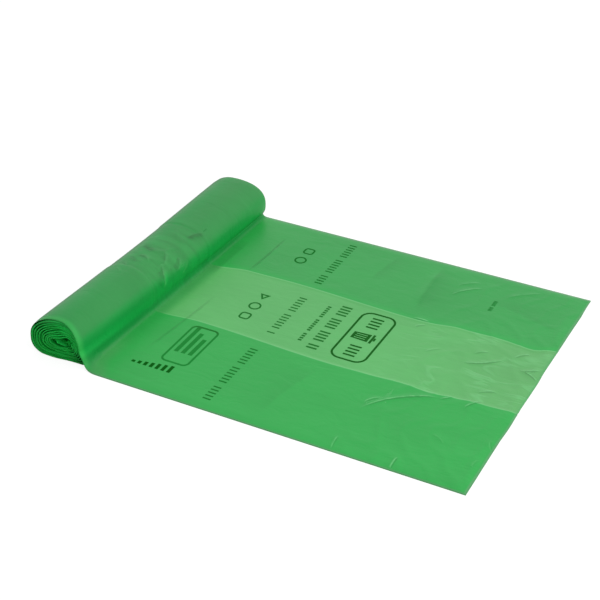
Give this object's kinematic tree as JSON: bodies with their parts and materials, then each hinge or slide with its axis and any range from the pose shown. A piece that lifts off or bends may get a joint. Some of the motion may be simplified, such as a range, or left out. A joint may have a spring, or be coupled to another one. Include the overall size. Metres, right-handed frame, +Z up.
{
  "type": "bin bag roll",
  "caption": "coreless roll of green gusseted bin bags lying on its side, its leading bag pulled out flat in front with plain dark print",
  "frame": {"origin": "on the table, in the middle of the outline of roll and pulled-out bag", "axes": "+X runs from the roll towards the free edge of the leading bag, +Y along the roll from its near end to its far end, +Z up"},
  "size_m": [0.4388, 0.33, 0.0411],
  "materials": {
    "wound_film": "thin semi-gloss film seen on edge, deep green",
    "film": "thin translucent film, soft sheen, mid green, paler where two plies lie over each other than over a gusset",
    "ink": "thin dark green printing ink"
  },
  "bodies": {
    "root": {"wound_bags": "wound_film", "leading_bag": "film", "print": "ink"}
  },
  "joints": []
}
